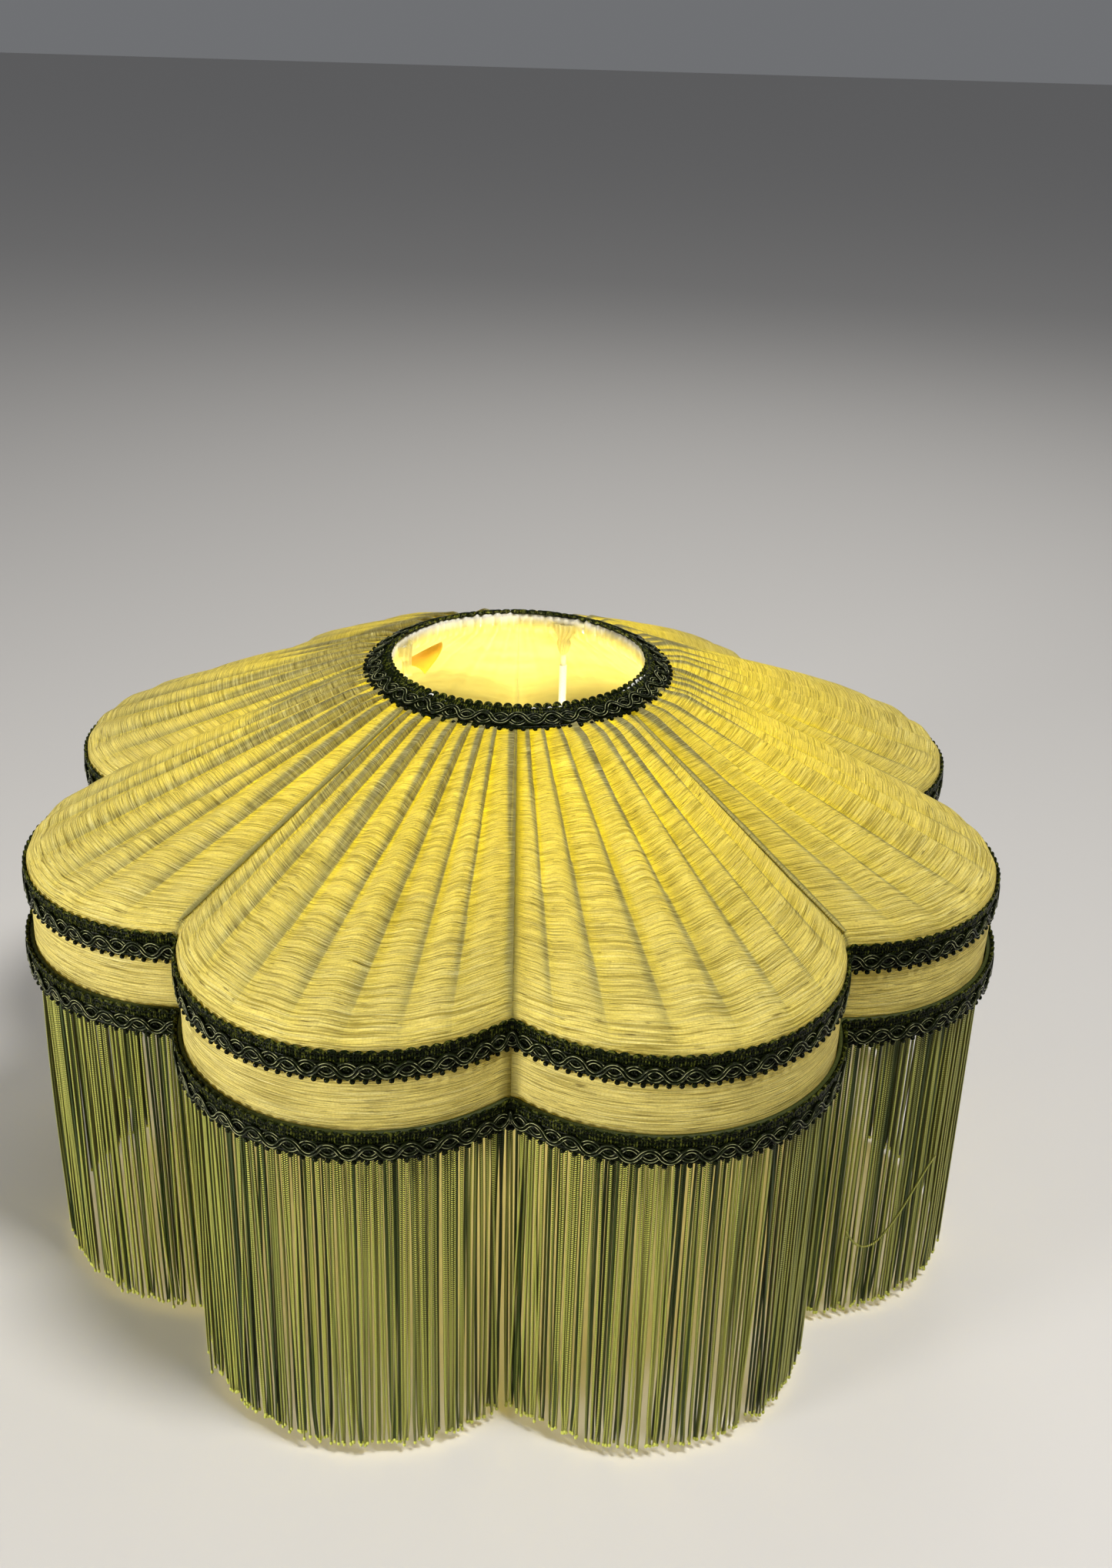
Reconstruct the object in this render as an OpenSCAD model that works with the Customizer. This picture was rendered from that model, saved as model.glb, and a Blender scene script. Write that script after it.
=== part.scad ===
// Scalloped fabric lamp shade with gimp braid and a deep chainette fringe.
// The wire frame hangs from a fitter ring. The outer cover is gathered on the
// crown, a short upright collar runs below it, and a lining closes the inside.
// Origin: centre of the fitter ring's bore, at the ring's lower face. +Z is up.

/* [Outline] */
// Diameter over the tips of the scallops, at the upper gimp's face
overall_d = 406; // [360:2:460]
// How far each notch lies inside the tip circle
notch_depth = 31; // [24:1:38]

/* [Heights] */
// From the fitter ring's lower face up to the top of the shade
fitter_drop = 72; // [55:1:90]
// From the top of the shade down to the upper gimp's upper edge
crown_h = 63; // [50:1:80]
// From the upper gimp's upper edge down to the lower gimp's upper edge
collar_pitch = 31.2; // [26:0.2:40]

/* [Top ring and fitter] */
// Diameter of the top ring, at its wire's centre
top_ring_d = 110; // [96:1:130]
// Bore of the fitter ring, for a lampholder's skirt
fitter_bore_d = 42; // [29:0.5:44]
// Outer diameter of the fitter ring
fitter_ring_d = 56; // [52:1:60]
// Thickness of the fitter ring
fitter_ring_t = 2; // [1.5:0.5:3]

/* [Wires] */
// Diameter of the top ring's wire
top_wire_d = 3; // [2.5:0.5:3.5]
// Diameter of the ribs, scalloped rings and fitter arms
wire_d = 2.5; // [2:0.5:2.5]
// Thickness of the cotton tape bound round the wires
tape_t = 0.35; // [0.2:0.05:0.4]

/* [Fabric and trim] */
// Thickness of the gathered cover
cover_t = 1; // [0.6:0.1:1.2]
// Thickness of the lining
lining_t = 0.8; // [0.4:0.1:1]
// Width of the gimp braid
gimp_w = 12.8; // [10:0.2:15]
// Thickness of the gimp braid
gimp_t = 1.6; // [1:0.1:2]
// Length of the fringe below the lower gimp
fringe_l = 134; // [60:2:160]
// Thickness of the curtain of fringe strands
fringe_t = 1.4; // [1:0.1:2]

/* [Hidden] */
LOBES = 8;
ARMS = 4;
$fn = 96;

// Plan of the scallops: eight equal arcs that meet in notches. Notch 1 faces -Y.
half_lobe = 180 / LOBES;
tip_r = overall_d / 2;
notch_r = tip_r - notch_depth;
lobe_centre_r = (tip_r^2 - notch_r^2) / (2 * (tip_r - notch_r * cos(half_lobe)));
lobe_r = tip_r - lobe_centre_r;

// Clearance between neighbouring pieces, so that they touch but don't share space
gap = 0.2;
// Clearance between a wire and the tape bound round it
tape_fit = 0.02;
// Clearance where an arm meets the fitter ring, and where it meets the taped top ring
arm_fit = 0.05;
// Degrees left free at each side of a panel, so that it doesn't share space with its neighbour
panel_trim = 0.05;
wire_r = wire_d / 2;
taped_r = wire_r + tape_t;

// Lobe radii of the layers, from the gimp's face inwards
upper_gimp_in = lobe_r - gimp_t;
cover_out = upper_gimp_in - gap;
cover_in = cover_out - cover_t;
ring_wire_lobe = cover_in - gap - taped_r;
heading_t = 1.9;
heading_out = cover_out + gap / 2 + heading_t;
lower_gimp_in = heading_out + gap;
fringe_out = cover_out - 0.5;

// Heights of the trims
top_z = fitter_drop;
upper_gimp_top = top_z - crown_h;
upper_gimp_low = upper_gimp_top - gimp_w;
cover_low = upper_gimp_low + 1.6;
collar_top = upper_gimp_low + 1.4;
lower_gimp_top = upper_gimp_top - collar_pitch;
lower_gimp_low = lower_gimp_top - gimp_w;
collar_low = lower_gimp_low + 0.8;
heading_top = lower_gimp_top - 0.6;
fringe_top = lower_gimp_low - 0.1;
fringe_low = lower_gimp_low - fringe_l;

// Heights of the wires
upper_wire_z = upper_gimp_top - 3;
lower_wire_z = lower_gimp_low + 6;
top_wire_r = top_wire_d / 2;
top_ring_r = top_ring_d / 2;
top_tape_r = top_wire_r + tape_t;
top_wire_z = top_z - 6.8;

// Crown profile: a straight slope from the top ring, then a round shoulder
crown_top_r = top_ring_r - 1.8;
crown_top_z = top_z - 2.7;
shoulder_run = 8;
shoulder_h = 3.6;
crown_slant =
    atan2(crown_top_z - upper_gimp_top - shoulder_h, layer_notch_r(cover_out) - crown_top_r);

// The top gimp lies on the slope of the crown, round the opening
top_gimp_r = top_ring_r - 2.3;
top_gimp_w = gimp_w - 0.8;

// Ribs: along the crown under the notch, round a bend, then straight down to the lower ring
rib_top = [top_ring_r + top_wire_r, top_wire_z - top_wire_r / 2];
rib_corner = [layer_notch_r(ring_wire_lobe) - wire_d - tape_t, upper_gimp_top + 3.4];
rib_bend_r = 4;
rib_turn = 90 - atan2(rib_top[1] - rib_corner[1], rib_corner[0] - rib_top[0]);
rib_bend_reach = rib_bend_r * tan(rib_turn / 2);
rib_low_z = lower_wire_z - wire_r;

// Fitter arms: down the inside of the top ring, then in to the fitter ring
arm_bend_r = 4;
arm_z = fitter_ring_t / 2;
arm_r = top_ring_r - top_tape_r - wire_r - arm_fit;
arm_top_z = top_wire_z + 1;
arm_tape_low = arm_z + arm_bend_r;

// Wraps: cloth folded round the top of each arm, wide at the top and narrow below
wrap_top_z = arm_top_z - 3.9;
wrap_low_z = arm_top_z - 18;
wrap_top_w = 11;
wrap_low_w = 5.4;
wrap_depth = 4;
wrap_behind = 1.2;

// Lining: cloth stretched from the top ring to the lower scalloped ring
lining_top = [top_ring_r + 0.4, top_wire_z - 2.6];
lining_low_z = lower_wire_z - wire_r;
lining_lobe = ring_wire_lobe - 3.2;
lining_run = lobe_centre_r + lining_lobe - lining_top[0];
lining_drop = lining_top[1] - lining_low_z;
lining_across = lining_t * norm([lining_run, lining_drop]) / lining_drop;

// How many facets the swept wires and the panels have
LOBE_STEPS = 12;
WIRE_SIDES = 8;
BEND_STEPS = 6;
SHOULDER_STEPS = 3;

// How far the tapes stop short of a weld: in degrees round a lobe, and in mm along a rib
weld_trim = 5;
weld_bare = 3;
rib_foot_bare = 2 * wire_d;
rib_bend_bare = 4 * wire_d;

function lobe_azimuth(i) = -90 + half_lobe + (i - 1) * 2 * half_lobe;
function notch_azimuth(i) = -90 + (i - 1) * 2 * half_lobe;
function arm_azimuth(i) = -half_lobe + (i - 1) * 360 / ARMS;

// Distance from the axis to a layer whose lobe radius is rho, t degrees off the lobe's middle
function layer_r(rho, t) =
    lobe_centre_r * cos(t) + sqrt(rho^2 - (lobe_centre_r * sin(t))^2);
function layer_notch_r(rho) = layer_r(rho, half_lobe);
// Angle at the lobe's own centre from its middle to its notch
function lobe_sweep(rho) =
    atan2(layer_notch_r(rho) * sin(half_lobe), layer_notch_r(rho) * cos(half_lobe) - lobe_centre_r);
function steps(low, high, n) = [for (k = [0:n]) low + (high - low) * k / n];
function turn(n) = [for (k = [0:n - 1]) 360 * k / n];
function bezier(a, b, c, s) = (1 - s)^2 * a + 2 * s * (1 - s) * b + s^2 * c;
function polar(r, t, z) = [r * cos(t), r * sin(t), z];
function unit(v) = v / norm(v);

// Radius and height down the crown at angle t, a distance inset inside the outer face
function crown_profile(t, inset) =
    let (edge = layer_r(cover_out - inset, t),
         corner = [edge, upper_gimp_top + shoulder_h - inset],
         start = [crown_top_r, crown_top_z - inset / cos(crown_slant)],
         slope = (start[1] - corner[1]) / (corner[0] - start[0]),
         bend = corner + shoulder_run * [-1, slope],
         foot = corner - [0, shoulder_h + 1])
    concat([start, (start + bend) / 2],
           [for (s = steps(0, 1, SHOULDER_STEPS)) bezier(bend, corner, foot, s)],
           [[edge, cover_low]]);

// Closes the space between two grids of points with the same numbers of rows and columns
module shell_between(outer, inner) {
    rows = len(outer);
    cols = len(outer[0]);
    count = rows * cols;
    function at(r, c, side) = side * count + r * cols + c;
    quads = concat(
        [for (r = [0:rows - 2], c = [0:cols - 2])
            [at(r, c, 0), at(r, c + 1, 0), at(r + 1, c + 1, 0), at(r + 1, c, 0)]],
        [for (r = [0:rows - 2], c = [0:cols - 2])
            [at(r, c, 1), at(r + 1, c, 1), at(r + 1, c + 1, 1), at(r, c + 1, 1)]],
        [for (r = [0:rows - 2]) [at(r, 0, 0), at(r + 1, 0, 0), at(r + 1, 0, 1), at(r, 0, 1)]],
        [for (r = [0:rows - 2])
            [at(r, cols - 1, 0), at(r, cols - 1, 1), at(r + 1, cols - 1, 1), at(r + 1, cols - 1, 0)]],
        [for (c = [0:cols - 2]) [at(0, c, 0), at(0, c, 1), at(0, c + 1, 1), at(0, c + 1, 0)]],
        [for (c = [0:cols - 2])
            [at(rows - 1, c, 0), at(rows - 1, c + 1, 0), at(rows - 1, c + 1, 1), at(rows - 1, c, 1)]]);
    points = concat([for (row = outer) each row], [for (row = inner) each row]);
    triangles = [for (q = quads) each [[q[0], q[1], q[2]], [q[0], q[2], q[3]]]];
    polyhedron(points, triangles, convexity = 4);
}

// A closed ring of wire that follows the scallops of one lobe radius
module scalloped_wire(rho, z, r) {
    sections = LOBES * LOBE_STEPS;
    path = [for (i = [1:LOBES], k = [0:LOBE_STEPS - 1])
        let (t = (2 * k / LOBE_STEPS - 1) * half_lobe) polar(layer_r(rho, t), lobe_azimuth(i) + t, z)];
    rings = [for (s = [0:sections - 1])
        let (before = path[(s + sections - 1) % sections],
             here = path[s],
             after = path[(s + 1) % sections],
             way_in = unit(here - before),
             way_out = unit(after - here),
             way = unit(way_in + way_out),
             side = [way[1], -way[0], 0] / (way * way_in))
        [for (a = turn(WIRE_SIDES)) here + r * (cos(a) * side + [0, 0, sin(a)])]];
    faces = [for (s = [0:sections - 1], a = [0:WIRE_SIDES - 1])
        let (p = s * WIRE_SIDES, q = (s + 1) % sections * WIRE_SIDES, b = (a + 1) % WIRE_SIDES)
        each [[p + a, p + b, q + b], [p + a, q + b, q + a]]];
    polyhedron([for (ring = rings) each ring], faces, convexity = 8);
}

// Outline of a layer in plan
module scallop_outline(rho) {
    circle(r = lobe_centre_r);
    for (i = [1:LOBES])
        rotate(lobe_azimuth(i)) translate([lobe_centre_r, 0]) circle(r = rho);
}

// A band of cloth or braid that stands upright round the whole edge
module scalloped_band(rho_out, rho_in, low, high) {
    translate([0, 0, low]) linear_extrude(high - low) difference() {
        scallop_outline(rho_out);
        scallop_outline(rho_in);
    }
}

// Places its child, an (r, z) section with r counted from the lobe's own centre, round one lobe
module round_lobe(i, rho, trim = 0.1) {
    sweep = lobe_sweep(rho) - trim;
    rotate(lobe_azimuth(i)) translate([lobe_centre_r, 0, 0])
        rotate(-sweep) rotate_extrude(angle = 2 * sweep) children();
}

module lobe_wall(i, rho_out, rho_in, low, high) {
    round_lobe(i, rho_out) translate([rho_in, low]) square([rho_out - rho_in, high - low]);
}

// A wire that follows points (r, z) in the plane of azimuth 0
module bent_wire(path, r) {
    last = len(path) - 1;
    rings = [for (s = [0:last])
        let (way_in = unit(path[max(s, 1)] - path[max(s, 1) - 1]),
             way_out = unit(path[min(s + 1, last)] - path[min(s + 1, last) - 1]),
             way = unit(way_in + way_out),
             side = [way[1], -way[0]] / (way * way_in))
        [for (a = turn(2 * WIRE_SIDES))
            [path[s][0] + r * cos(a) * side[0], r * sin(a), path[s][1] + r * cos(a) * side[1]]]];
    n = len(rings[0]);
    walls = [for (s = [0:last - 1], a = [0:n - 1])
        let (p = s * n, q = p + n, b = (a + 1) % n)
        each [[p + a, q + b, p + b], [p + a, q + a, q + b]]];
    caps = [for (k = [1:n - 2]) each [[0, k, k + 1], [last * n, last * n + k + 1, last * n + k]]];
    polyhedron([for (ring = rings) each ring], concat(walls, caps), convexity = 4);
}

// A straight wire between two points in the plane of azimuth 0
module straight_wire(from, to, r) {
    way = to - from;
    translate([from[0], 0, from[1]]) rotate([0, 90 - atan2(way[1], way[0]), 0])
        cylinder(h = norm(way), r = r);
}

// A tube of tape round such a wire, clear of both its ends
module straight_tape(from, to, start, finish) {
    way = unit(to - from);
    difference() {
        straight_wire(from + start * way, to - finish * way, taped_r);
        straight_wire(from, to, wire_r + tape_fit);
    }
}

module top_ring() {
    color("silver") rotate_extrude() translate([top_ring_r, top_wire_z]) circle(r = top_wire_r);
}

module upper_scallop_ring() {
    color("silver") scalloped_wire(ring_wire_lobe, upper_wire_z, wire_r);
}

module lower_scallop_ring() {
    color("silver") scalloped_wire(ring_wire_lobe, lower_wire_z, wire_r);
}

module rib(i) {
    hub = rib_corner - [rib_bend_r, rib_bend_reach];
    bend = [for (a = steps(rib_turn, 0, BEND_STEPS)) hub + rib_bend_r * [cos(a), sin(a)]];
    color("silver") rotate(notch_azimuth(i))
        bent_wire(concat([rib_top], bend, [[rib_corner[0], rib_low_z]]), wire_r);
}

module fitter_arm(i) {
    color("silver") rotate(arm_azimuth(i)) union() {
        translate([arm_r, 0, arm_z + arm_bend_r])
            cylinder(h = arm_top_z - arm_z - arm_bend_r, r = wire_r);
        translate([arm_r - arm_bend_r, 0, arm_z + arm_bend_r])
            rotate([90, 0, 0]) rotate([0, 0, -90]) rotate_extrude(angle = 90)
                translate([arm_bend_r, 0]) circle(r = wire_r);
        straight_wire([fitter_ring_d / 2 + arm_fit, arm_z], [arm_r - arm_bend_r, arm_z], wire_r);
    }
}

module fitter_ring() {
    color("lightgrey") difference() {
        cylinder(h = fitter_ring_t, d = fitter_ring_d);
        translate([0, 0, -1]) cylinder(h = fitter_ring_t + 2, d = fitter_bore_d);
    }
}

module top_ring_tape() {
    color("ivory") rotate_extrude() translate([top_ring_r, top_wire_z]) difference() {
        circle(r = top_tape_r);
        circle(r = top_wire_r + tape_fit);
    }
}

// Tape between the ribs; it stops short of each notch, where the rib is welded on
module scalloped_tape(z) {
    for (i = [1:LOBES]) round_lobe(i, ring_wire_lobe, weld_trim)
        translate([ring_wire_lobe, z]) difference() {
            circle(r = taped_r);
            circle(r = wire_r + tape_fit);
        }
}

module scallop_ring_tapes() {
    color("ivory") for (z = [upper_wire_z, lower_wire_z]) scalloped_tape(z);
}

module rib_tapes() {
    color("ivory") for (i = [1:LOBES]) rotate(notch_azimuth(i)) {
        straight_tape(rib_top, rib_corner, weld_bare, weld_bare);
        straight_tape([rib_corner[0], rib_low_z], rib_corner, rib_foot_bare, rib_bend_bare);
    }
}

module arm_tapes() {
    color("ivory") for (i = [1:ARMS]) rotate(arm_azimuth(i))
        straight_tape([arm_r, arm_tape_low], [arm_r, wrap_low_z], 0, gap);
}

module cover_panel(i) {
    angles = steps(panel_trim - half_lobe, half_lobe - panel_trim, LOBE_STEPS);
    function grid(inset) =
        [for (row = [0:len(crown_profile(0, 0)) - 1])
            [for (t = angles) let (p = crown_profile(t, inset)[row]) polar(p[0], t, p[1])]];
    color("khaki") rotate(lobe_azimuth(i)) shell_between(grid(0), grid(cover_t));
}

module collar_panel(i) {
    color("khaki") lobe_wall(i, cover_out, cover_in, collar_low, collar_top);
}

module top_gimp() {
    color([0.09, 0.12, 0.06]) rotate_extrude() translate([top_gimp_r, top_z])
        rotate(-crown_slant) translate([0, -gimp_t]) square([top_gimp_w, gimp_t]);
}

module upper_gimp() {
    color([0.09, 0.12, 0.06]) scalloped_band(lobe_r, upper_gimp_in, upper_gimp_low, upper_gimp_top);
}

module lower_gimp() {
    color([0.09, 0.12, 0.06])
        scalloped_band(lower_gimp_in + gimp_t, lower_gimp_in, lower_gimp_low, lower_gimp_top);
}

module fringe_heading() {
    color("darkolivegreen") scalloped_band(heading_out, cover_out + gap / 2, collar_low, heading_top);
}

module fringe_skirt(i) {
    color("olivedrab") lobe_wall(i, fringe_out, fringe_out - fringe_t, fringe_low, fringe_top);
}

module lining_panel(i) {
    angles = steps(panel_trim - half_lobe, half_lobe - panel_trim, LOBE_STEPS);
    function grid(inset) = [for (s = steps(0, 1, 2)) [for (t = angles)
        let (r = (lining_top[0] - inset) * (1 - s) + layer_r(lining_lobe - inset, t) * s)
            polar(r, t, lining_top[1] - lining_drop * s)]];
    color("lightyellow") rotate(lobe_azimuth(i)) shell_between(grid(0), grid(lining_across));
}

// A strip of lining cloth folded down round the top of an arm, hiding the slit in the lining
module arm_wrap(i) {
    color("lightyellow") rotate(arm_azimuth(i)) difference() {
        translate([arm_r - wrap_depth / 2, 0, 0]) rotate([90, 0, 90]) linear_extrude(wrap_depth)
            polygon([[-wrap_low_w / 2, wrap_low_z], [wrap_low_w / 2, wrap_low_z],
                     [wrap_top_w / 2, wrap_top_z], [-wrap_top_w / 2, wrap_top_z]]);
        translate([arm_r, 0, wrap_low_z - 1]) cylinder(h = wrap_top_z, r = wire_r + tape_fit);
        translate([arm_r + wrap_behind, -wrap_top_w, wrap_low_z - 1])
            cube([wrap_depth, 2 * wrap_top_w, wrap_top_z]);
    }
}

top_ring();
upper_scallop_ring();
lower_scallop_ring();
for (i = [1:LOBES]) rib(i);
for (i = [1:ARMS]) fitter_arm(i);
fitter_ring();
top_ring_tape();
scallop_ring_tapes();
rib_tapes();
arm_tapes();
for (i = [1:LOBES]) cover_panel(i);
for (i = [1:LOBES]) collar_panel(i);
top_gimp();
upper_gimp();
lower_gimp();
fringe_heading();
for (i = [1:LOBES]) fringe_skirt(i);
for (i = [1:LOBES]) lining_panel(i);
for (i = [1:ARMS]) arm_wrap(i);
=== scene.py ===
"""Looks of the scalloped lamp shade: cloth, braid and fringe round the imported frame.

Every length is in metres unless a comment says otherwise. The outline and most heights are
measured from the CAD frame.
"""
import math
from random import Random

import bpy
import numpy as np
from mathutils import Matrix, Vector


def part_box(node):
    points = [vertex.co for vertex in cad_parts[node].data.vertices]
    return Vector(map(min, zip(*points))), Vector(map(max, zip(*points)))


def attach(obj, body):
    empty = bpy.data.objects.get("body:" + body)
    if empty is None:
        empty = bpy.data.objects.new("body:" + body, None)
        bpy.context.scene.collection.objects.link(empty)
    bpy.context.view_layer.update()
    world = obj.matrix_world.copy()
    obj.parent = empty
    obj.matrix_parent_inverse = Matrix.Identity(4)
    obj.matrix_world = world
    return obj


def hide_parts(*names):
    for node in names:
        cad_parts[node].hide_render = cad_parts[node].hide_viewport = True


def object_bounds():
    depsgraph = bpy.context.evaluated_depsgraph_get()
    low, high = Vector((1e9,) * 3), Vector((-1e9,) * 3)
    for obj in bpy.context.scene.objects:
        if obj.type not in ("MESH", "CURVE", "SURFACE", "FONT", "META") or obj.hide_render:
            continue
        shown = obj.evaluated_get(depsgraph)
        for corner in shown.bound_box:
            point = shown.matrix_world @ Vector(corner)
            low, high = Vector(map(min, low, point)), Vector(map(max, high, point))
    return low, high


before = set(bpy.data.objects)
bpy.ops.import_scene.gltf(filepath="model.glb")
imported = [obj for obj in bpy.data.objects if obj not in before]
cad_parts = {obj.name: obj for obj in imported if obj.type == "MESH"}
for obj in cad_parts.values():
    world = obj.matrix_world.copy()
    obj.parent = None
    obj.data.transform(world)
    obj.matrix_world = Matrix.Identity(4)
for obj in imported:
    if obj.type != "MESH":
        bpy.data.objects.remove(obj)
cad_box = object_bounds()

MM = 0.001
LOBES = 8
HALF_LOBE = math.pi / LOBES
FIRST_NOTCH = -math.pi / 2
ROOT = "root"


# -------------------- measuring the frame

def node_points(node):
    """Every corner of a CAD node, in the row frame."""
    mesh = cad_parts[node].data
    flat = np.empty(3 * len(mesh.vertices))
    mesh.vertices.foreach_get("co", flat)
    return flat.reshape(-1, 3)


def plan_radii(node):
    """Radius of each corner of a CAD node, and its angle off the first notch in degrees."""
    points = node_points(node)
    off_notch = np.degrees(np.arctan2(points[:, 0], -points[:, 1]))
    return np.hypot(points[:, 0], points[:, 1]), np.abs(off_notch)


def z_range(node):
    """Lowest and highest z of a CAD node."""
    low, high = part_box(node)
    return low[2], high[2]


# Points of a node this near to a notch, in degrees, give the notch's radius
NEAR_NOTCH = 0.4


class Edge:
    """The scalloped edge of the cover with its notches rounded, as a path round the shade."""

    def __init__(self, node, fillet):
        radii, off_notch = plan_radii(node)
        tip, notch = radii.max(), radii[off_notch < NEAR_NOTCH].max()
        self.centre = (tip**2 - notch**2) / (2 * (tip - notch * math.cos(HALF_LOBE)))
        self.rho = tip - self.centre
        self.fillet = fillet
        across = self.centre * math.sin(HALF_LOBE)
        reach = math.sqrt((self.rho + fillet) ** 2 - across**2)
        self.fillet_at = self.centre * math.cos(HALF_LOBE) + reach
        self.sweep = math.atan2(
            self.fillet_at * math.sin(HALF_LOBE), self.fillet_at * math.cos(HALF_LOBE) - self.centre
        )
        self.lobe_length = 2 * (self.rho * self.sweep + fillet * (self.sweep - HALF_LOBE))

    def at(self, s, out=0.0):
        """Points (x, y) and outward directions, s lobes round from notch 1 and out metres proud."""
        s = np.asarray(s, float)
        lobe = np.floor(s)
        along = (s - lobe - 0.5) * self.lobe_length
        side, along = np.sign(along), np.abs(along)
        on_lobe = along <= self.rho * self.sweep
        bend = self.sweep - (along - self.rho * self.sweep) / self.fillet
        facing = np.where(on_lobe, along / self.rho, bend) * side
        normal = np.stack([np.cos(facing), np.sin(facing)], -1)
        hub = np.stack([np.full_like(s, self.centre), np.zeros_like(s)], -1)
        corner = self.fillet_at * np.stack(
            [np.full_like(s, math.cos(HALF_LOBE)), side * math.sin(HALF_LOBE)], -1
        )
        on_lobe = on_lobe[..., None]
        point = np.where(on_lobe, hub + self.rho * normal, corner - self.fillet * normal)
        point = point + np.asarray(out, float)[..., None] * normal
        turn = FIRST_NOTCH + HALF_LOBE * (1 + 2 * lobe)
        return _turned(point, turn), _turned(normal, turn)


def _turned(xy, angle):
    """Points (x, y) turned about the shade's axis."""
    c, s = np.cos(angle), np.sin(angle)
    return np.stack([xy[..., 0] * c - xy[..., 1] * s, xy[..., 0] * s + xy[..., 1] * c], -1)


NOTCH_FILLET = 4.5 * MM
edge = Edge("collar_panel_1", NOTCH_FILLET)
RING_Z = sum(z_range("top_ring")) / 2
CROWN_Z = z_range("cover_panel_1")[1]
CROWN_R = plan_radii("cover_panel_1")[0].min()
UPPER_LOW, UPPER_TOP = z_range("upper_gimp")
LOWER_LOW, LOWER_TOP = z_range("lower_gimp")
FRINGE_LOW = z_range("fringe_skirt_1")[0]
GIMP_W = UPPER_TOP - UPPER_LOW


# -------------------- making meshes

def mesh_piece(name, points, faces, material, uv, values):
    """A smooth mesh object on the root body.

    faces is a list of index arrays, one for each number of corners; uv is an array with one
    pair for each face corner in that order; values maps an attribute's name to one number a point.
    """
    mesh = bpy.data.meshes.new(name)
    corners = np.concatenate([f.ravel() for f in faces])
    totals = np.concatenate([np.full(len(f), f.shape[1]) for f in faces])
    starts = np.concatenate([[0], np.cumsum(totals)[:-1]])
    mesh.vertices.add(len(points))
    mesh.vertices.foreach_set("co", np.asarray(points, np.float32).ravel())
    mesh.loops.add(len(corners))
    mesh.loops.foreach_set("vertex_index", corners.astype(np.int32))
    mesh.polygons.add(len(totals))
    mesh.polygons.foreach_set("loop_start", starts.astype(np.int32))
    mesh.update(calc_edges=True)
    mesh.shade_smooth()
    uv_map = mesh.uv_layers.new(name="UVMap")
    uv_map.data.foreach_set("uv", np.asarray(uv, np.float32).ravel())
    for key, numbers in values.items():
        attribute = mesh.attributes.new(key, "FLOAT", "POINT")
        attribute.data.foreach_set("value", np.asarray(numbers, np.float32))
    piece = bpy.data.objects.new(name, mesh)
    bpy.context.scene.collection.objects.link(piece)
    mesh.materials.append(material)
    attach(piece, ROOT)
    return piece


def grid_faces(rows, cols, wrap=False):
    """Quads of a grid of points whose outside faces away from the shade's axis."""
    r, c = np.meshgrid(np.arange(rows - 1), np.arange(cols if wrap else cols - 1), indexing="ij")
    n = (c + 1) % cols
    quads = np.stack([r * cols + c, (r + 1) * cols + c, (r + 1) * cols + n, r * cols + n], -1)
    return quads.reshape(-1, 4)


def cloth(name, grid, material, thickness, uv, values=None, wrap=False):
    """A sheet of cloth from a grid of points, given its thickness inwards."""
    rows, cols = grid.shape[:2]
    faces = grid_faces(rows, cols, wrap)
    flat_uv = uv.reshape(-1, 2)[faces.ravel()]
    flat_values = {key: numbers.ravel() for key, numbers in (values or {}).items()}
    piece = mesh_piece(name, grid.reshape(-1, 3), [faces], material, flat_uv, flat_values)
    solid = piece.modifiers.new("thickness", "SOLIDIFY")
    solid.thickness = thickness
    solid.offset = -1
    return piece


def unit(v):
    return v / np.linalg.norm(v, axis=-1, keepdims=True)


def grid_normals(grid):
    """Outward direction at each point of a grid."""
    return unit(np.cross(np.gradient(grid, axis=0), np.gradient(grid, axis=1)))


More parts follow.
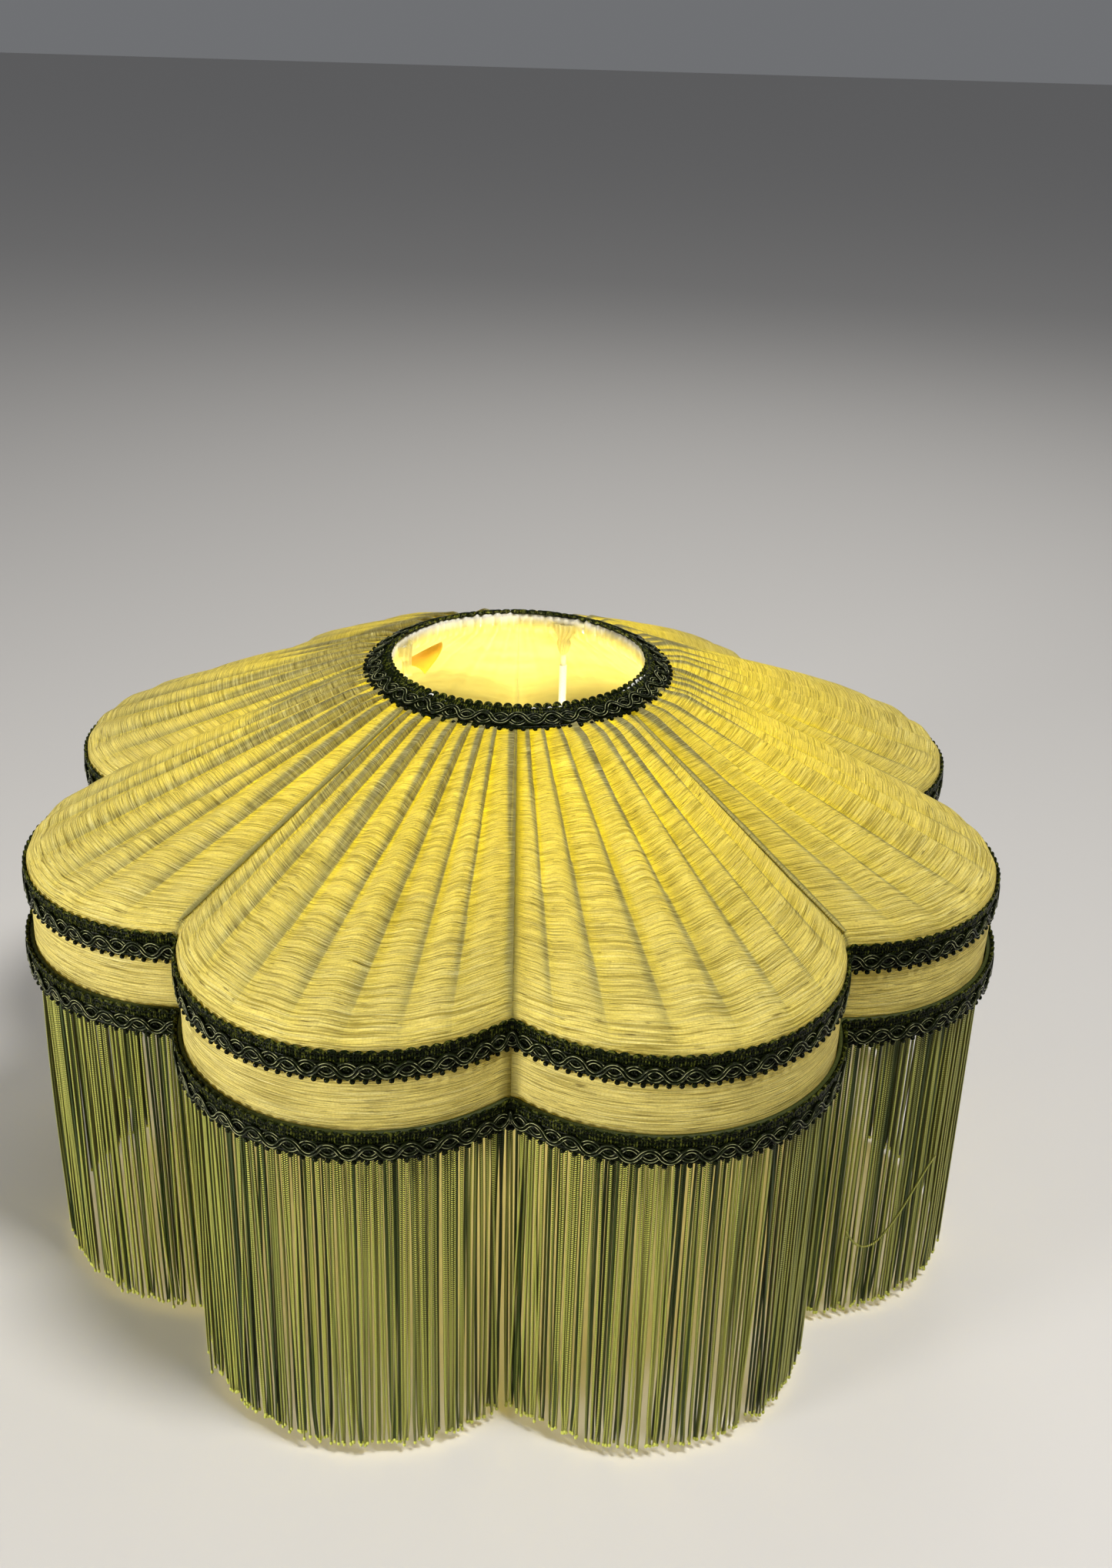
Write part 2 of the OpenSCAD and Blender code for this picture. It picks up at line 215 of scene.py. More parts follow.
class Strands:
    """Gathers many tubes and beads into one mesh."""

    def __init__(self):
        self.points, self.faces, self.uvs, self.values = [], {}, {}, []
        self.count = 0

    def _add(self, points, faces, uvs, value):
        for f, u in zip(faces, uvs):
            self.faces.setdefault(f.shape[1], []).append(f + self.count)
            self.uvs.setdefault(f.shape[1], []).append(u)
        self.points.append(points)
        self.values.append(value)
        self.count += len(points)

    def tubes(self, paths, ups, radius, sides=6, closed=False, value=0.0):
        """Tubes along paths (tube, point, xyz); ups points out of the cloth at each point.

        A corner's uv is its place round the tube, with 0.25 facing outwards, and its distance
        along the tube.
        """
        number, length = paths.shape[:2]
        if closed:
            way = unit(np.roll(paths, -1, 1) - np.roll(paths, 1, 1))
        else:
            way = unit(np.gradient(paths, axis=1))
        side = unit(np.cross(way, ups))
        up = np.cross(side, way)
        angle = 2 * np.pi * np.arange(sides) / sides
        radius = np.broadcast_to(radius, (number, length))[..., None, None]
        cos, sin = np.cos(angle)[..., None], np.sin(angle)[..., None]
        ring = cos * side[:, :, None] + sin * up[:, :, None]
        points = (paths[:, :, None] + radius * ring).reshape(-1, 3)
        spans = length if closed else length - 1
        t, p, k = np.meshgrid(np.arange(number), np.arange(spans), np.arange(sides), indexing="ij")
        here, there = (t * length + p) * sides, (t * length + (p + 1) % length) * sides
        quads = np.stack([here + k, there + k, there + (k + 1) % sides, here + (k + 1) % sides], -1)
        steps = np.linalg.norm(np.diff(paths, axis=1, append=paths[:, :1]), axis=-1)
        far = np.concatenate([np.zeros((number, 1)), np.cumsum(steps, 1)], 1)
        v0, v1 = far[t, p], far[t, p + 1]
        uv = np.stack([np.stack([k, v0], -1), np.stack([k, v1], -1), np.stack([k + 1, v1], -1),
                       np.stack([k + 1, v0], -1)], 3)
        uv[..., 0] /= sides
        faces, uvs = [quads.reshape(-1, 4)], [uv.reshape(-1, 2)]
        if not closed:
            first = (np.arange(number) * length * sides)[:, None]
            last = first + (length - 1) * sides
            caps = np.concatenate([first + np.arange(sides), last + np.arange(sides)[::-1]])
            faces.append(caps)
            uvs.append(np.full((caps.size, 2), 0.5))
        value = np.broadcast_to(np.reshape(value, (-1, 1, 1)), (number, length, sides))
        self._add(points, faces, uvs, value.ravel())

    def beads(self, centres, axes, radii, value=0.0, uv=(0.5, 0.0005)):
        """Small round beads; axes is three directions for each centre, and radii their sizes."""
        turns, bands = 7, 5
        around = 2 * np.pi * np.arange(turns) / turns
        up = np.pi * (np.arange(1, bands) / bands - 0.5)
        middle = [(math.cos(b) * math.cos(a), math.cos(b) * math.sin(a), math.sin(b))
                  for b in up for a in around]
        ball = np.array([(0, 0, -1), *middle, (0, 0, 1)]) * radii
        points = centres[:, None] + np.einsum("bk,nkx->nbx", ball, axes)
        quads = 1 + grid_faces(bands - 1, turns, wrap=True)[:, ::-1]
        ring = np.arange(turns)
        last = len(ball) - 1
        low = np.stack([np.zeros(turns, int), 1 + (ring + 1) % turns, 1 + ring], -1)
        under = last - turns
        high = np.stack([np.full(turns, last), under + ring, under + (ring + 1) % turns], -1)
        tris = np.concatenate([low, high])
        start = (np.arange(len(centres)) * len(ball))[:, None, None]
        faces = [(start + quads).reshape(-1, 4), (start + tris).reshape(-1, 3)]
        points = points.reshape(-1, 3)
        uvs = [np.tile(uv, (f.size, 1)) for f in faces]
        self._add(points, faces, uvs, np.full(len(points), value))

    def piece(self, name, material):
        kinds = sorted(self.faces)
        faces = [np.concatenate(self.faces[k]) for k in kinds]
        uv = np.concatenate([u for k in kinds for u in self.uvs[k]])
        return mesh_piece(name, np.concatenate(self.points), faces, material, uv,
                          {"tone": np.concatenate(self.values)})


# -------------------- materials

class Nodes:
    """Short ways to add the nodes of one material."""

    def __init__(self, name):
        self.material = bpy.data.materials.new(name)
        self.material.use_nodes = True
        self.tree = self.material.node_tree
        self.tree.nodes.clear()
        self.output = self.tree.nodes.new("ShaderNodeOutputMaterial")

    def _fill(self, socket, value):
        """Links a socket to another node's output, or sets its constant."""
        if isinstance(value, bpy.types.NodeSocket):
            self.tree.links.new(value, socket)
        else:
            socket.default_value = value

    def add(self, kind, **inputs):
        node = self.tree.nodes.new("ShaderNode" + kind)
        for key, value in inputs.items():
            self._fill(node.inputs[key.replace("_", " ")], value)
        return node

    def math(self, operation, a, b=0.0, clamp=False):
        node = self.tree.nodes.new("ShaderNodeMath")
        node.operation, node.use_clamp = operation, clamp
        for socket, value in zip(node.inputs, (a, b)):
            self._fill(socket, value)
        return node.outputs[0]

    def mix(self, factor, a, b, blend="MIX"):
        node = self.tree.nodes.new("ShaderNodeMix")
        node.data_type, node.blend_type = "RGBA", blend
        for index, value in ((0, factor), (6, a), (7, b)):
            self._fill(node.inputs[index], (*value, 1) if isinstance(value, tuple) else value)
        return node.outputs[2]

    def ramp(self, factor, *stops):
        """A smooth ramp of (position, value) stops, as a grey value."""
        node = self.add("ValToRGB", Fac=factor)
        points = node.color_ramp.elements
        while len(points) < len(stops):
            points.new(0.5)
        for point, (at, value) in zip(points, stops):
            point.position, point.color = at, (value, value, value, 1)
        return node.outputs[0]

    def attribute(self, name):
        node = self.tree.nodes.new("ShaderNodeAttribute")
        node.attribute_name = name
        return node.outputs["Fac"]

    def uv(self, stretch=(1, 1, 1)):
        """The piece's own uv map in metres of cloth, so stretch is in repeats a metre."""
        node = self.tree.nodes.new("ShaderNodeUVMap")
        return self.add("Mapping", Vector=node.outputs[0], Scale=stretch).outputs[0]

    def place(self, stretch=(1, 1, 1)):
        """The point's own place in the row frame, scaled."""
        node = self.tree.nodes.new("ShaderNodeTexCoord")
        return self.add("Mapping", Vector=node.outputs["Object"], Scale=stretch).outputs[0]

    def noise(self, vector, detail=3.0, roughness=0.6, distortion=0.0):
        return self.add("TexNoise", Vector=vector, Scale=1.0, Detail=detail, Roughness=roughness,
                        Distortion=distortion).outputs["Fac"]

    def bump(self, height, strength, distance):
        return self.add("Bump", Height=height, Strength=strength, Distance=distance).outputs[0]

    def face(self, colour, roughness, **more):
        return self.add("BsdfPrincipled", Base_Color=colour, Roughness=roughness, **more)

    def finish(self, shader):
        """The finished material, with shader on its surface."""
        self.tree.links.new(shader.outputs[0], self.output.inputs["Surface"])
        return self.material

    def finish_two(self, share_behind, front, behind):
        """The finished material of thin cloth, which mixes its face and the light through it."""
        blend = self.add("MixShader", Fac=share_behind)
        self.tree.links.new(front.outputs[0], blend.inputs[1])
        self.tree.links.new(behind.outputs[0], blend.inputs[2])
        return self.finish(blend)


def cover_material():
    """Slubbed yellow cloth that glows where it is one layer thick and lit from inside, with a
    painted golden glow, painted shade on doubled and creased cloth and painted shadows of the ribs
    on top.
    """
    n = Nodes("cover_cloth")
    layers, seam_shade_and_fray, glow = n.attribute("layers"), n.attribute("seam_shade_and_fray"), n.attribute("glow")
    grain = n.noise(n.uv((1300, 1300, 1)), detail=1)
    slub = n.noise(n.uv((35, 2200, 1)), detail=1, roughness=0.6)
    patches = n.noise(n.uv((30, 75, 1)), detail=3, roughness=0.55)
    threads = n.noise(n.uv((32, 2300, 1)), detail=1, roughness=0.5, distortion=0.2)
    fine_threads = n.noise(n.uv((110, 4200, 1)), detail=1)
    dashes = n.noise(n.uv((130, 1900, 1)), detail=1, distortion=0.4)
    dark_lines = n.ramp(threads, (0.36, 1.0), (0.50, 0.0))
    fine_lines = n.ramp(fine_threads, (0.38, 1.0), (0.56, 0.0))
    # Painted glow: a golden colour, in patches, that stands for the lamp inside shining through the
    # cloth.
    patchy = n.ramp(patches, (0.30, 0.6), (0.60, 1.0))
    painted_glow = n.math("MULTIPLY", n.math("POWER", glow, 1.3), patchy)
    colour = n.mix(painted_glow, (0.90, 0.79, 0.26), (0.98, 0.87, 0.020))
    # Painted shade where the cloth lies in more than one layer or in a crease, as if it blocked the
    # lamp inside.
    colour = n.mix(layers, colour, (0.28, 0.25, 0.09))
    not_painted_glow = n.math("SUBTRACT", 1.15, painted_glow)
    pale_slub = n.math("MULTIPLY", n.ramp(slub, (0.50, 0.0), (0.68, 0.5)), not_painted_glow, clamp=True)
    colour = n.mix(pale_slub, colour, (0.99, 0.95, 0.50))
    colour = n.mix(n.ramp(grain, (0.34, 0.3), (0.58, 0.0)), colour, (0.52, 0.47, 0.34), "MULTIPLY")
    colour = n.mix(n.math("MULTIPLY", fine_lines, 0.6), colour, (0.50, 0.45, 0.34), "MULTIPLY")
    colour = n.mix(n.math("MULTIPLY", dark_lines, 0.85), colour, (0.42, 0.38, 0.22), "MULTIPLY")
    dark_dashes = n.ramp(dashes, (0.28, 0.85), (0.36, 0.0))
    colour = n.mix(dark_dashes, colour, (0.20, 0.16, 0.10), "MULTIPLY")
    # Painted shadow of the rib wires and struts along the seams inside, and of the soft fold on one
    # rib.
    colour = n.mix(seam_shade_and_fray, colour, (0.24, 0.22, 0.075))
    normal = n.bump(n.math("SUBTRACT", slub, dark_lines), 0.5, 0.0006)
    front = n.face(colour, 0.65, Sheen_Weight=0.05, Specular_IOR_Level=0.2, Normal=normal)
    behind = n.add("BsdfTranslucent", Color=n.mix(0.5, colour, (1.0, 0.97, 0.45)), Normal=normal)
    single = n.math("SUBTRACT", 1.0, n.math("MULTIPLY", layers, 0.72))
    through = n.math("MULTIPLY", single, n.ramp(glow, (0.0, 0.38), (0.9, 0.82)))
    return n.finish_two(through, front, behind)


def lining_material(name, dull, clear, through):
    """Pale plain lining cloth with a soft satin face, in broad bands of painted shade where it
    hangs in soft swags.
    """
    n = Nodes(name)
    weave = n.noise(n.uv((1500, 1500, 1)), detail=1, roughness=0.4)
    soft = n.noise(n.uv((25, 90, 1)), detail=3, roughness=0.6)
    # Painted shade: broad noise mixes the shaded and the lit colour of the lining in bands, for its
    # swags.
    colour = n.mix(n.ramp(soft, (0.35, 0.0), (0.65, 1.0)), dull, clear)
    frayed = n.attribute("seam_shade_and_fray")
    colour = n.mix(frayed, colour, (0.74, 0.73, 0.68))
    normal = n.bump(weave, 0.25, 0.0003)
    front = n.face(colour, 0.45, Sheen_Weight=0.2, Normal=normal)
    behind = n.add("BsdfTranslucent", Color=(*through, 1), Normal=normal)
    through_share = n.math("SUBTRACT", 0.68, n.math("MULTIPLY", frayed, 0.6))
    return n.finish_two(through_share, front, behind)


def gimp_material():
    """Near-black green braid with painted light on its cords: a fine painted highlight line along
    each cord's top with painted glints, and a painted lit flank beside it.
    """
    n = Nodes("gimp_braid")
    round_it = n.add("SeparateXYZ", Vector=n.uv()).outputs[0]
    tone = n.attribute("tone")
    corded, olive_share = n.ramp(tone, (0.6, 0.0), (0.9, 1.0)), n.ramp(tone, (0.1, 0.0), (0.4, 1.0))
    # Painted highlight along the outward top of each cord, with a painted lit flank beside it.
    off_top = n.math("ABSOLUTE", n.math("SUBTRACT", round_it, 0.26))
    painted_highlight_line = n.math("MULTIPLY", n.ramp(off_top, (0.014, 1.0), (0.034, 0.0)), corded)
    flank = n.math("ABSOLUTE", n.math("SUBTRACT", round_it, 0.36))
    lit_flank = n.math("MULTIPLY", n.ramp(flank, (0.02, 1.0), (0.06, 0.0)), corded)
    speckle = n.noise(n.place((700, 700, 700)), detail=2, roughness=0.55)
    blobs = n.ramp(speckle, (0.50, 0.0), (0.66, 1.0))
    colour = n.mix(n.math("MULTIPLY", blobs, 0.5), (0.0035, 0.0045, 0.0015), (0.012, 0.020, 0.003))
    # Olive threads in patches: partly the braid's own green thread, partly painted light where the
    # lamp inside lights the heading.
    olive = n.mix(blobs, (0.004, 0.007, 0.001), (0.080, 0.088, 0.012))
    colour = n.mix(n.math("MULTIPLY", olive_share, n.math("SUBTRACT", 1.0, corded)), colour, olive)
    colour = n.mix(lit_flank, colour, (0.010, 0.012, 0.004))
    # Painted glints: the painted highlight line is bright in some places and dull in others.
    glints = n.ramp(n.noise(n.place((420, 420, 420)), detail=1), (0.44, 0.0), (0.60, 1.0))
    colour = n.mix(painted_highlight_line, colour, n.mix(glints, (0.040, 0.050, 0.024), (0.50, 0.51, 0.25)))
    normal = n.bump(n.noise(n.place((2600, 2600, 2600)), detail=1), 0.4, 0.0003)
    return n.finish(n.face(colour, 0.14, Specular_IOR_Level=0.05, Normal=normal))


def fringe_material():
    """Chainette strands of uneven green and olive thread, with painted highlights on the slanted
    stitches of each strand's outward side and painted shade on the strands that hang behind.
    """
    n = Nodes("fringe_thread")
    parts = n.add("SeparateXYZ", Vector=n.uv())
    tone = n.attribute("tone")
    lean = n.math("SUBTRACT", n.math("MULTIPLY", n.math("ROUND", tone), 2.0), 1.0)
    own_tone = n.math("FRACT", n.math("MULTIPLY", tone, TONE_TURNS))
    slant = n.math("MULTIPLY", n.math("MULTIPLY", parts.outputs[0], lean), 2.0)
    stitch = n.math("FRACT", n.math("ADD", n.math("DIVIDE", parts.outputs[1], STITCH), slant))
    # Painted highlights: pale slanted stitches, only on the side of each strand that faces out.
    light = n.ramp(n.math("ABSOLUTE", n.math("SUBTRACT", stitch, 0.5)), (0.12, 1.0), (0.24, 0.0))
    off_top = n.math("ABSOLUTE", n.math("SUBTRACT", parts.outputs[0], 0.25))
    light = n.math("MULTIPLY", light, n.ramp(off_top, (0.14, 1.0), (0.23, 0.1)))
    deep = n.mix(own_tone, (0.002, 0.006, 0.001), (0.024, 0.027, 0.001))
    # Painted shade: strands that hang behind get a much darker copy of the highlight colour.
    in_front = n.ramp(own_tone, (SHARE_BEHIND - 0.08, 0.0), (SHARE_BEHIND + 0.16, 1.0))
    pale = n.mix(in_front, (0.080, 0.125, 0.004), (1.0, 1.0, 0.19))
    colour = n.mix(light, deep, pale)
    normal = n.bump(light, 0.8, 0.0005)
    return n.finish(n.face(colour, 0.36, Specular_IOR_Level=0.25, Normal=normal))


def tape_material():
    """Off-white woven cotton tape."""
    n = Nodes("cotton_tape")
    weave = n.noise(n.place((1400, 1400, 1800)), detail=2, roughness=0.5)
    colour = n.mix(weave, (0.72, 0.67, 0.53), (0.93, 0.91, 0.84))
    return n.finish(n.face(colour, 0.8, Sheen_Weight=0.2, Normal=n.bump(weave, 0.5, 0.0005)))


def coated_wire_material(name, light, dark):
    """White coated steel, a little uneven and worn to a duller shade in places."""
    n = Nodes(name)
    patch = n.noise(n.place((160, 160, 160)), detail=4, roughness=0.65)
    grain = n.noise(n.place((2200, 2200, 2200)), detail=2)
    colour = n.mix(n.ramp(patch, (0.52, 0.0), (0.72, 1.0)), light, dark)
    return n.finish(n.face(colour, 0.34, Coat_Weight=0.2, Normal=n.bump(grain, 0.12, 0.0003)))


def heading_material():
    """Woven olive tape, ribbed by the strands that cross it."""
    n = Nodes("fringe_heading")
    ribs = n.noise(n.uv((900, 60, 1)), detail=2)
    colour = n.mix(ribs, (0.012, 0.018, 0.004), (0.055, 0.065, 0.014))
    return n.finish(n.face(colour, 0.5, Specular_IOR_Level=0.15, Normal=n.bump(ribs, 0.6, 0.0006)))


def floor_material():
    n = Nodes("floor")
    return n.finish(n.face((0.60, 0.585, 0.57, 1), 0.7))


# Length of one chainette stitch
STITCH = 0.9 * MM
# A strand's tone gives its lean by halves, and its own tone and whether it hangs behind in painted
# shade by how far it is round a turn
TONE_TURNS = 7.31
# Share of the strands that hang behind the others, in painted shade
SHARE_BEHIND = 0.36

COVER = cover_material()
LINING = lining_material("lining_cloth", (0.62, 0.52, 0.26), (0.80, 0.71, 0.39), (0.98, 0.95, 0.66))
# Lining cloth painted warm orange: a painted glow, as the lamp inside lights the loose end of a
# wrap.
WRAP_PAINTED_GLOW = lining_material("wrap_cloth_painted_glow", (0.86, 0.52, 0.10), (0.94, 0.70, 0.18),
                            (0.98, 0.74, 0.20))
HEADING = heading_material()
GIMP = gimp_material()
FRINGE = fringe_material()
TAPE = tape_material()
WIRE = coated_wire_material("frame_wire", (0.80, 0.79, 0.75), (0.55, 0.54, 0.50))
FITTER = coated_wire_material("fitter_metal", (0.74, 0.72, 0.58), (0.52, 0.50, 0.40))


# -------------------- the gathered crown

PLEATS = 8
PLEAT_COLS = 30 * PLEATS
PLEAT_ROWS = 90
# Height of the folds at these shares of the way down from the ring to the corner
FOLD_PLACES = (0, 0.3, 0.5, 0.7, 0.85, 0.95, 1)
FOLD_SIZES = np.array([3.0, 3.4, 3.5, 3.3, 2.6, 1.5, 0.4]) * MM
# Share of a pleat's width at which its fold turns back
TURN_BACK = 0.84
# The round shoulder starts this far in from the corner, which stands this far above the gimp
SHOULDER_RUN = 8 * MM
SHOULDER_RISE = 3.6 * MM
# Two last rows of cloth, this far below the shoulder's foot and hidden behind the gimp
HEM_DROPS = np.array([2, 5]) * MM
CLOTH = 0.45 * MM
# Width of a lobe at the ring, as a share of its width at the edge
RING_SHARE = 0.27
# The rib that has a soft fold of cloth instead of a stitched seam
FOLDED_RIB = 0
SEAM_HALF_W = 0.85 * MM
SEAM_LIFT = 0.55 * MM
# Section of a stitched seam, sideways and up in shares of its half width, and the painted shade
# across it, where wire and doubled cloth block the lamp inside
SEAM_PROFILE = np.array([(-1.25, -0.15), (-1.05, 0.62), (-0.6, 0.80), (0.2, 0.62), (0.8, 0.45),
                         (1.2, -0.1)])
SEAM_PAINTED_SHADE = np.array([0.3, 0.1, 0.4, 0.9, 1.0, 1.0])


def ease(value):
    """A smooth step from 0 to 1 as value goes from 0 to 1."""
    value = np.clip(value, 0, 1)
    return value * value * (3 - 2 * value)


def ring_point(s, radius, z):
    """Points on a circle round the axis, s lobes round."""
    angle = FIRST_NOTCH + 2 * HALF_LOBE * s
    z = np.broadcast_to(z, np.shape(s))
    return np.stack([radius * np.cos(angle), radius * np.sin(angle), z], -1)


def edge_point(s, out, z):
    """Points on the scalloped edge, s lobes round."""
    xy, _ = edge.at(s, out)
    return np.concatenate([xy, np.broadcast_to(z, np.shape(s))[..., None]], -1)


def crown_rows(s, down):
    """Points of the smooth crown at s lobes round and down from 0, the ring, to 1, the corner."""
    top = ring_point(s, CROWN_R + 1.5 * MM, CROWN_Z - 0.5 * MM)
    corner = edge_point(s, 0, UPPER_TOP + SHOULDER_RISE)
    return top, corner, top + (corner - top) * down


def pleat_walls(rng):
    """Where each pleat starts and ends across a lobe, at the ring and at the edge."""
    widths = np.array([rng.uniform(0.7, 1.35) for _ in range(PLEATS)])
    top = np.concatenate([[0], np.cumsum(widths)]) / widths.sum()
    widths = widths ** 0.6
    low = np.concatenate([[0], np.cumsum(widths)]) / widths.sum()
    return top, low


def pleat_height(across, down, rng):
    """Height of the folds above the smooth crown, their lean, and how doubled the cloth is, with
    the crease shadows added, for painted shade.
    """
    top, low = pleat_walls(rng)
    depth = np.array([rng.uniform(0.75, 1.25) for _ in range(PLEATS)])
    reach = np.array([rng.uniform(0.65, 1.25) for _ in range(PLEATS)])
    single = np.array([rng.uniform(0.36, 0.62) for _ in range(PLEATS)])
    walls = top[:, None, None] * (1 - down) + low[:, None, None] * down
    index = np.clip((across[None] >= walls).sum(0) - 1, 0, PLEATS - 1)
    start = np.take_along_axis(walls, index[None], 0)[0]
    finish = np.take_along_axis(walls, index[None] + 1, 0)[0]
    place = np.clip((across - start) / (finish - start), 0, 1)
    back = np.clip((1 - place) / (1 - TURN_BACK), 0, 1)
    knife = np.where(place < TURN_BACK, (place / TURN_BACK) ** 0.75, back ** 1.2)
    crest = np.array([rng.uniform(1.1, 1.7) for _ in range(PLEATS)])
    ridge = np.sin(np.pi * place ** 1.25) ** crest[index]
    fade = ease(down / 0.6)
    fold = knife * (1 - fade) + ridge * fade
    loose = 0.22 + 0.78 * ease((down - 0.045) / 0.075)
    size = np.interp(down, FOLD_PLACES, FOLD_SIZES)
    size = size * depth[index] * (1 - (1 - np.clip(reach[index], 0, 1)) * down) * loose
    lean = knife * (1 - fade) * 0.9 * MM
    open_at = np.clip(down / (0.72 * reach[index]), 0, 1)
    edge_of_double = single[index] + (0.96 - single[index]) * open_at
    doubled = 1 / (1 + np.exp(-(place - edge_of_double) * 34))
    doubled = doubled * np.clip(1 - (place - TURN_BACK) * 8, 0.15, 1)
    doubled = doubled * np.clip((1 - open_at) * 3, 0, 1)
    # Painted shadow in the crease where each pleat turns back.
    crease_shadow = np.exp(-(((place - 0.95) / (0.07 + 0.06 * down)) ** 2))
    crease_shadow = crease_shadow * np.interp(down, (0, 0.5, 0.85, 0.97), (1.0, 0.95, 0.70, 0.1))
    return size * fold, lean, np.maximum(doubled, crease_shadow)


def wrinkles(s, down, rng, size):
    """Soft unevenness of hand-stretched cloth."""
    total = np.zeros(np.broadcast(s, down).shape)
    for _ in range(7):
        total = total + math.sin(rng.uniform(0, 6)) * np.sin(
            rng.uniform(6, 26) * s + rng.uniform(2, 9) * down + rng.uniform(0, 6.28))
    return total * size / 3


def cloth_uv(s, length):
    """The uv of a grid of cloth: metres round the edge, and metres down its columns."""
    return np.stack(np.broadcast_arrays(s[None] * edge.lobe_length, length[:, None]), -1)


def crown_panel(index):
    """One lobe of the crown: gathered cloth whose round shoulder turns down behind the gimp."""
    rng = Random(100 + index)
    across = np.linspace(0, 1, PLEAT_COLS + 1)
    across, down = np.meshgrid(across, np.linspace(0, 1, PLEAT_ROWS + 1))
    s = index + np.clip(across, 1e-6, 1 - 1e-6)
    top, corner, slope = crown_rows(s, down[..., None])
    run = np.linalg.norm(corner - top, axis=-1)
    height, lean, doubled = pleat_height(across, down, rng)
    at_seam = np.clip(np.minimum(across, 1 - across) * 9, 0, 1) ** 0.8
    still = np.clip((1 - down) / 0.12, 0, 1)
    height = (height + wrinkles(s, down, rng, 0.28 * MM) * still) * at_seam
    normal = grid_normals(slope)
    along = unit(np.gradient(slope, axis=1))
    bent = slope + normal * height[..., None] + along * (lean * at_seam * (1 - down))[..., None]
    shoulder_from = 1 - SHOULDER_RUN / run
    t = np.clip((down - shoulder_from) / (1 - shoulder_from), 0, 1)[..., None]
    foot = corner - np.array([0, 0, SHOULDER_RISE + 1 * MM])
    bend = top + (corner - top) * shoulder_from[..., None]
    curve = (1 - t) ** 2 * bend + 2 * t * (1 - t) * corner + t**2 * foot
    grid = np.where(t > 0, curve + normal * height[..., None], bent)
    hem = np.stack([grid[-1] - np.array([0, 0, drop]) for drop in HEM_DROPS])
    grid = np.concatenate([grid, hem])
    mean_run = run[0].mean()
    uv = cloth_uv(s[0], np.concatenate([down[:, 0] * mean_run, mean_run + HEM_DROPS]))

    def with_hem(field):
        return np.concatenate([field, field[-1:], field[-1:]])

    width = edge.lobe_length * (RING_SHARE + (1 - RING_SHARE) * down)
    off_seam = np.minimum(across, 1 - across) * width
    # Painted shadow of the rib wire inside, along each seam; on the folded rib, painted shadow of
    # the soft fold.
    seam_shade_and_fray = 0.80 * np.exp(-((off_seam / (1.3 * MM)) ** 2)) * np.clip(down * 3, 0, 1)
    if index in (FOLDED_RIB, (FOLDED_RIB - 1) % LOBES):
        off_fold = (across if index == FOLDED_RIB else 1 - across) * width
        fold = 0.85 * np.exp(-((off_fold / (1.5 * MM)) ** 2))
        seam_shade_and_fray = np.maximum(seam_shade_and_fray, fold * np.clip(down * 2.5 - 0.2, 0, 1))
    # Painted glow of the lamp inside: strongest near the ring and in the valleys between the folds.
    glow = np.clip(1.12 - 0.95 * down ** 1.3, 0.12, 1)
    valley = 1 - np.clip(height / (0.9 * MM), 0, 1)
    glow = np.clip(glow * (0.55 + 0.5 * valley), 0, 1)
    piece = cloth(f"crown_{index + 1}", grid, COVER, CLOTH, uv,
                  {"layers": with_hem(doubled), "seam_shade_and_fray": with_hem(seam_shade_and_fray), "glow": with_hem(glow)})
    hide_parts(f"cover_panel_{index + 1}")
    return piece


def rib_seam(index):
    """The folded edge of one panel, stitched over its neighbour along a rib."""
    rng = Random(300 + index)
    down = np.linspace(0.08, 0.985, 80)
    s = np.full((len(down), 1), float(index))
    middle = crown_rows(s, down[:, None, None])[2][:, 0]
    angle = FIRST_NOTCH + 2 * HALF_LOBE * index
    sideways = np.array([-math.sin(angle), math.cos(angle), 0])
    up = np.cross(unit(middle[-1] - middle[0]), sideways)
    half = SEAM_HALF_W * np.clip(down / 0.3, 0.6, 1) * np.clip((1 - down) / 0.05, 0.4, 1)
    half = (half * (1 + 0.12 * np.sin(31 * down + rng.uniform(0, 6))))[:, None, None]
    grid = (middle[:, None] + half * SEAM_PROFILE[None, :, :1] * sideways
            + (half * 0.8 * SEAM_PROFILE[None, :, 1:] + SEAM_LIFT) * up)
    uv_across, uv_down = SEAM_PROFILE[None, :, 0] * 1.2 * MM, down[:, None] * 0.14
    uv = np.stack(np.broadcast_arrays(uv_across, uv_down), -1)
    # The seam strip is painted dark across its width, as shade where the wire and doubled cloth
    # block the lamp inside.
    seam_shade_and_fray = np.broadcast_to(SEAM_PAINTED_SHADE, grid.shape[:2])
    zero = np.zeros(grid.shape[:2])
    piece = cloth(f"rib_seam_{index + 1}", grid[:, ::-1], COVER, 0.3 * MM, uv[:, ::-1],
                  {"layers": zero, "seam_shade_and_fray": seam_shade_and_fray[:, ::-1], "glow": zero})
    return piece


# -------------------- the collar

